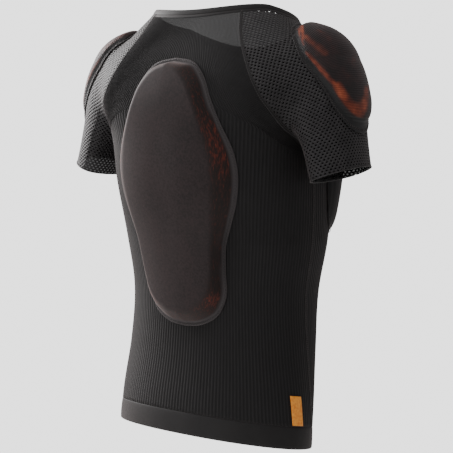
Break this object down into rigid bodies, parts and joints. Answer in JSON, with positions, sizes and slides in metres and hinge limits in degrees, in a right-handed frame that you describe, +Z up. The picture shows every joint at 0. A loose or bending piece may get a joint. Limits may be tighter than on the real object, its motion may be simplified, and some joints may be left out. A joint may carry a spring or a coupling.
{
  "type": "padded compression shirt",
  "caption": "Short-sleeved close-fitting sports shirt in its worn form, with mesh raglan sleeves and sewn-on pads on back, chest and shoulders.",
  "frame": {"origin": "middle of the neck opening, level with the shoulder line on which the wearer carries the shirt", "axes": "+Z up along the wearer's body, -Y to the wearer's front, +X to the wearer's left"},
  "size_m": [0.4852, 0.3062, 0.6474],
  "materials": {
    "rib_knit": "matte ribbed stretch knit",
    "sleeve_mesh": "matte honeycomb mesh",
    "band_knit": "smooth dark stretch knit",
    "pad_cover": "soft matte fabric over foam",
    "shoulder_cover": "sheer dark fabric over an orange pad",
    "woven_tag": "satin orange woven tape"
  },
  "bodies": {
    "root": {"back_panel": "rib_knit", "front_panel": "rib_knit", "sleeve_right": "sleeve_mesh", "sleeve_left": "sleeve_mesh", "neck_binding": "band_knit", "hem_band": "band_knit", "back_pad": "pad_cover", "chest_pad": "pad_cover", "shoulder_pad_right": "shoulder_cover", "shoulder_pad_left": "shoulder_cover", "hem_tag": "woven_tag"}
  },
  "joints": []
}
